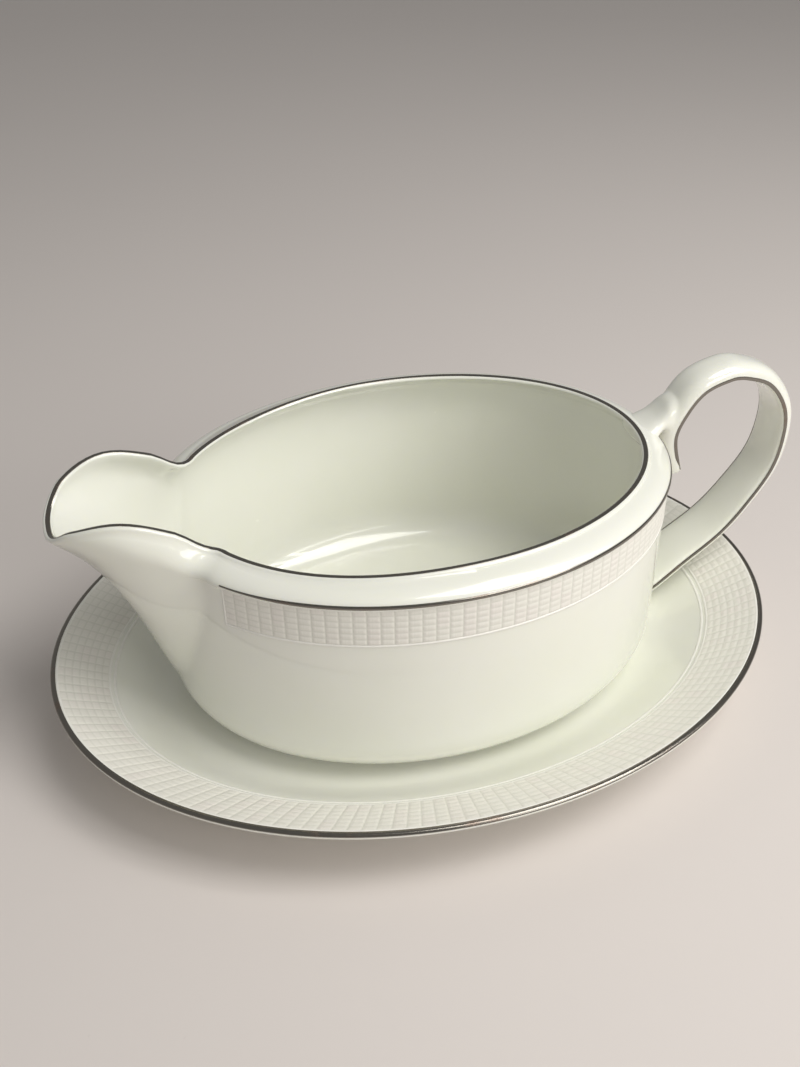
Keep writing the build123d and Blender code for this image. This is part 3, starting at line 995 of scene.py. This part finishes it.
def glazed_china(name, looks):
    """Warm translucent white under a clear glaze with slow ripples and pin specks."""
    paint = Paint(name)
    where = paint.here()
    cloud = paint.noise(where, 22, 3, 0.55)
    drift = paint.noise(where, 160, 2, 0.6)
    specks = paint.noise(where, 1500, 1, 0.4).between(0.80, 0.86)
    base = paint.mix(cloud.between(0.3, 0.75) * 0.5, looks.china, looks.glaze_pool)
    base = paint.mix(specks * 0.25, base, tuple(0.62 * c for c in looks.china))
    ripple = cloud * 0.6 + paint.noise(where, 60, 1, 0.4) * 0.4
    normal = paint.bump(ripple, 0.10, 0.9 * MM)
    normal = paint.bump(drift, 0.03, 0.12 * MM, normal)
    paint.set(Base_Color=base, Roughness=drift.between(0.2, 0.9) * 0.08 + 0.20, Normal=normal)
    paint.set(Subsurface_Weight=0.10, Subsurface_Radius=(1.0, 0.95, 0.55), Subsurface_Scale=1.6 * MM)
    paint.set(Coat_Weight=0.9, Coat_Roughness=0.045, Coat_IOR=1.5, IOR=1.5)
    return paint.material


def platinum(name, looks):
    """Metal lustre whose base colour is kept dark as a painted reflection of dark surroundings, browner and
    rougher where the brush laid it thin.
    """
    paint = Paint(name)
    where = paint.here()
    thin = paint.noise(where, 95, 3, 0.6).between(0.52, 0.72)
    grain = paint.noise(where, 900, 2, 0.5)
    # the dark base colours are a painted reflection of dark surroundings; the mix towards thin lustre is the
    # metal's own variation
    base = paint.mix(thin * 0.7, looks.platinum, looks.thin_platinum)
    normal = paint.bump(grain, 0.12, 0.05 * MM)
    paint.set(Base_Color=base, Roughness=grain * 0.12 + thin * 0.12 + 0.14, Normal=normal)
    paint.set(Metallic=1.0)
    return paint.material


def woven_enamel(name, looks):
    """Cream enamel in blocks, some faintly pink, with painted shade darkening the grooves, course seams and
    reed lines between them.
    """
    paint = Paint(name)
    where = paint.here()
    store = paint.node("ShaderNodeAttribute", {"attribute_name": "weave"}, {})["Vector"]
    parts = paint.node("ShaderNodeSeparateXYZ", {}, {0: store})
    across, up = Value(paint, parts[0]), Value(paint, parts[1])
    in_block = across.math("FRACT")
    in_course = up.math("FRACT")
    side = in_block.math("MINIMUM", 1 - in_block)
    end = in_course.math("MINIMUM", 1 - in_course)
    # painted shade: the grooves between blocks, the seams between courses and the reed lines are darkened in
    # colour, on top of their modelled relief
    groove_shade = 1 - side.between(0.0, 0.11)
    seam_shade = (1 - end.between(0.0, 0.2)) * 0.75
    reed = (1 - (in_block * 2.5 * pi).math("SINE").math("ABSOLUTE").between(0.0, 0.5)) * 0.3
    painted_groove_shade = groove_shade.math("MAXIMUM", seam_shade).math("MAXIMUM", reed)
    cell = paint.node("ShaderNodeCombineXYZ", {}, [across.math("FLOOR"), (up * 0.4).math("FLOOR"), 0.5])[0]
    chance = Value(paint, paint.node("ShaderNodeTexWhiteNoise", {}, {"Vector": cell})["Value"])
    blush = chance.between(0.6, 0.98) * 0.4
    grain = paint.noise(where, 700, 3, 0.6)
    base = paint.mix(blush, looks.enamel, looks.enamel_blush)
    base = paint.mix(grain.between(0.35, 0.7) * 0.25, base, tuple(0.93 * c for c in looks.enamel))
    # mixes the painted shade in, towards a darkened glaze tint
    base = paint.mix(painted_groove_shade * 0.42, base, tuple(0.72 * c for c in looks.glaze_pool))
    normal = paint.bump(grain, 0.35, 0.10 * MM)
    paint.set(Base_Color=base, Roughness=grain * 0.2 + 0.36, Normal=normal)
    paint.set(Coat_Weight=0.25, Coat_Roughness=0.2)
    return paint.material


def raised_enamel(name, looks):
    """Cream enamel piped in a fine uneven line."""
    paint = Paint(name)
    where = paint.here()
    beads = paint.noise(where, 420, 2, 0.5)
    base = paint.mix(beads.between(0.4, 0.7) * 0.4, looks.border, tuple(0.9 * c for c in looks.border))
    paint.set(Base_Color=base, Roughness=beads * 0.15 + 0.28, Normal=paint.bump(beads, 0.3, 0.12 * MM))
    paint.set(Coat_Weight=0.4, Coat_Roughness=0.12)
    return paint.material


def matte_table(name, looks):
    """Smooth laminate with a very faint mottle and fine dust."""
    paint = Paint(name)
    where = paint.here()
    mottle = paint.noise(where, 3.5, 3, 0.5)
    dust = paint.noise(where, 420, 2, 0.6)
    base = paint.mix(mottle.between(0.3, 0.7) * 0.35, looks.table, tuple(0.965 * c for c in looks.table))
    base = paint.mix(dust.between(0.74, 0.82) * 0.3, base, tuple(0.8 * c for c in looks.table))
    paint.set(Base_Color=base, Roughness=mottle * 0.1 + 0.52, Normal=paint.bump(dust, 0.05, 0.05 * MM))
    return paint.material


def dress(piece, material, body, node):
    """Gives a piece its only material and ties it to the frame."""
    piece.data.materials.clear()
    piece.data.materials.append(material)
    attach(piece, body)
    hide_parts(node)


# ---- operators ----
def shared_material(name, maker, looks):
    return bpy.data.materials.get(name) or maker(name, looks)


class BOAT_OT_bowl(Operator):
    """Model the bowl and spout in glazed china"""
    bl_idname = "sauce_boat.bowl"
    bl_label = "Bowl and Spout"

    def execute(self, context):
        scene = context.scene
        piece = model_bowl(scene.boat_sizes)
        china = shared_material("boat_glazed_china", glazed_china, scene.boat_finishes)
        dress(piece, china, "boat", "boat_body")
        return {"FINISHED"}


class BOAT_OT_handle(Operator):
    """Model the strap handle and the platinum along its edges"""
    bl_idname = "sauce_boat.handle"
    bl_label = "Handle"

    def execute(self, context):
        scene = context.scene
        piece = model_handle(scene.boat_sizes, scene.handle_sizes)
        china = shared_material("handle_glazed_china", glazed_china, scene.boat_finishes)
        dress(piece, china, "boat", "handle")
        metal = shared_material("platinum_lustre", platinum, scene.boat_finishes)
        for side, node in ((1, "handle_line_far"), (-1, "handle_line_near")):
            strip = model_handle_line(scene.boat_sizes, scene.handle_sizes, scene.decoration_sizes, side)
            dress(strip, metal, "boat", node)
        return {"FINISHED"}


class BOAT_OT_boat_lines(Operator):
    """Lay the platinum lines on the boat's rim and under its collar"""
    bl_idname = "sauce_boat.boat_lines"
    bl_label = "Boat Lines"

    def execute(self, context):
        scene = context.scene
        metal = shared_material("platinum_lustre", platinum, scene.boat_finishes)
        rim = model_rim_line(scene.boat_sizes, scene.decoration_sizes)
        dress(rim, metal, "boat", "boat_rim_line")
        under = model_collar_line(scene.boat_sizes, scene.decoration_sizes)
        dress(under, metal, "boat", "boat_collar_line")
        return {"FINISHED"}


class BOAT_OT_boat_band(Operator):
    """Lay the woven enamel band and its borders on the boat"""
    bl_idname = "sauce_boat.boat_band"
    bl_label = "Boat Band"

    def execute(self, context):
        scene = context.scene
        band = model_boat_band(scene.boat_sizes, scene.decoration_sizes)
        enamel = shared_material("woven_cream_enamel", woven_enamel, scene.boat_finishes)
        dress(band, enamel, "boat", "boat_woven_band")
        border = model_boat_border(scene.boat_sizes, scene.decoration_sizes)
        cream = shared_material("raised_cream_enamel", raised_enamel, scene.boat_finishes)
        dress(border, cream, "boat", "boat_band_border")
        return {"FINISHED"}


class BOAT_OT_stand(Operator):
    """Model the oval stand with its platinum edge"""
    bl_idname = "sauce_boat.stand"
    bl_label = "Oval Stand"

    def execute(self, context):
        scene = context.scene
        dish = model_stand(scene.stand_sizes)
        china = shared_material("stand_glazed_china", glazed_china, scene.boat_finishes)
        dress(dish, china, "stand", "stand_dish")
        edge = model_stand_line(scene.stand_sizes, scene.decoration_sizes)
        metal = shared_material("platinum_lustre", platinum, scene.boat_finishes)
        dress(edge, metal, "stand", "stand_edge_line")
        return {"FINISHED"}


class BOAT_OT_stand_band(Operator):
    """Lay the woven enamel band and its borders on the stand"""
    bl_idname = "sauce_boat.stand_band"
    bl_label = "Stand Band"

    def execute(self, context):
        scene = context.scene
        band = model_stand_band(scene.stand_sizes, scene.decoration_sizes)
        enamel = shared_material("woven_cream_enamel", woven_enamel, scene.boat_finishes)
        dress(band, enamel, "stand", "stand_woven_band")
        border = model_stand_borders(scene.stand_sizes, scene.decoration_sizes)
        cream = shared_material("raised_cream_enamel", raised_enamel, scene.boat_finishes)
        dress(border, cream, "stand", "stand_band_border")
        return {"FINISHED"}


def add_lamp(name, place, aim, power, size, shade=(1, 1, 1), tall=None):
    lamp = bpy.data.lights.new(name, "AREA")
    lamp.energy, lamp.color = power, shade
    lamp.shape = "RECTANGLE"
    lamp.size, lamp.size_y = size, tall or size
    thing = bpy.data.objects.new(name, lamp)
    thing.location = place
    thing.rotation_euler = (Vector(aim) - Vector(place)).to_track_quat("-Z", "Y").to_euler()
    bpy.context.scene.collection.objects.link(thing)


class BOAT_OT_stage(Operator):
    """Add the pale floor, the soft lights and the camera"""
    bl_idname = "sauce_boat.stage"
    bl_label = "Studio Stage"

    def execute(self, context):
        scene = context.scene
        select_nothing()
        bpy.ops.mesh.primitive_plane_add(size=6)
        floor = context.object
        floor.name = "pale_table"
        bpy.ops.object.mode_set(mode="EDIT")
        bpy.ops.mesh.subdivide(number_cuts=3)
        bpy.ops.object.mode_set(mode="OBJECT")
        floor.data.materials.append(matte_table("pale_laminate", scene.boat_finishes))

        world = bpy.data.worlds.new("studio_air")
        scene.world = world
        world.use_nodes = True
        back = world.node_tree.nodes["Background"]
        back.inputs[0].default_value = (1.0, 0.985, 0.96, 1)
        back.inputs[1].default_value = 0.27
        tube_power, tube_width, tube_length = 0.60, 0.05, 0.60
        warm_white = (1, 0.985, 0.955)
        for i in range(3):
            place = Vector((0.60, -0.40, 0.66)) + Vector((0.06, 0.10, 0.0)) * (i - 1)
            name = "key_tube_" + str(i + 1)
            add_lamp(name, place, (0.02, -0.02, 0.03), tube_power, tube_width, warm_white, tube_length)
        add_lamp("overhead", (0.30, -0.30, 0.80), (0.02, -0.06, 0), 3.4, 0.45, (1, 0.98, 0.95), 0.45)
        add_lamp("front_fill", (0.42, -0.80, 0.46), (0.02, -0.14, 0), 2.7, 0.60, (1, 0.98, 0.95), 0.35)

        view = bpy.data.cameras.new("catalogue_camera")
        view.lens = 37.98
        view.sensor_width = 36
        view.clip_start = 0.01
        view.dof.use_dof = False
        camera = bpy.data.objects.new("catalogue_camera", view)
        scene.collection.objects.link(camera)
        turn, rise, roll = radians(-18.163), radians(35.624), radians(-0.917)
        away = Vector((sin(turn) * cos(rise), -cos(turn) * cos(rise), sin(rise)))
        right = Vector((0, 0, 1)).cross(away).normalized()
        up = away.cross(right)
        across = right * cos(roll) + up * sin(roll)
        upward = up * cos(roll) - right * sin(roll)
        target = Vector((7.958, 39.662, 21.9)) * MM
        pose = Matrix((across, upward, away)).transposed().to_4x4()
        pose.translation = target + away * 396.10 * MM
        camera.matrix_world = pose
        scene.camera = camera
        scene.view_settings.view_transform = "Standard"
        return {"FINISHED"}


class BOAT_PT_panel(Panel):
    """Lists the sizes and the building steps"""
    bl_idname = "BOAT_PT_panel"
    bl_label = "Sauce Boat and Stand"
    bl_space_type = "VIEW_3D"
    bl_region_type = "UI"
    bl_category = "Sauce Boat"

    def draw(self, context):
        for operator in OPERATORS:
            self.layout.operator(operator.bl_idname)
        for name, group in GROUPS.items():
            box = self.layout.box()
            box.label(text=group.__doc__)
            values = getattr(context.scene, name)
            for key in group.__annotations__:
                box.prop(values, key)


GROUPS = {
    "boat_sizes": BoatSizes,
    "handle_sizes": HandleSizes,
    "stand_sizes": StandSizes,
    "decoration_sizes": DecorationSizes,
    "boat_finishes": Finishes,
}
OPERATORS = (BOAT_OT_bowl, BOAT_OT_handle, BOAT_OT_boat_lines, BOAT_OT_boat_band, BOAT_OT_stand,
             BOAT_OT_stand_band, BOAT_OT_stage)


def register():
    for group in GROUPS.values():
        bpy.utils.register_class(group)
    for name, group in GROUPS.items():
        setattr(bpy.types.Scene, name, PointerProperty(type=group))
    for operator in OPERATORS:
        bpy.utils.register_class(operator)
    bpy.utils.register_class(BOAT_PT_panel)


def unregister():
    bpy.utils.unregister_class(BOAT_PT_panel)
    for operator in reversed(OPERATORS):
        bpy.utils.unregister_class(operator)
    for name in GROUPS:
        delattr(bpy.types.Scene, name)
    for group in reversed(GROUPS.values()):
        bpy.utils.unregister_class(group)


def main():
    register()
    for operator in OPERATORS:
        group, name = operator.bl_idname.split(".")
        getattr(getattr(bpy.ops, group), name)()
    select_nothing()


if __name__ == "__main__":
    main()
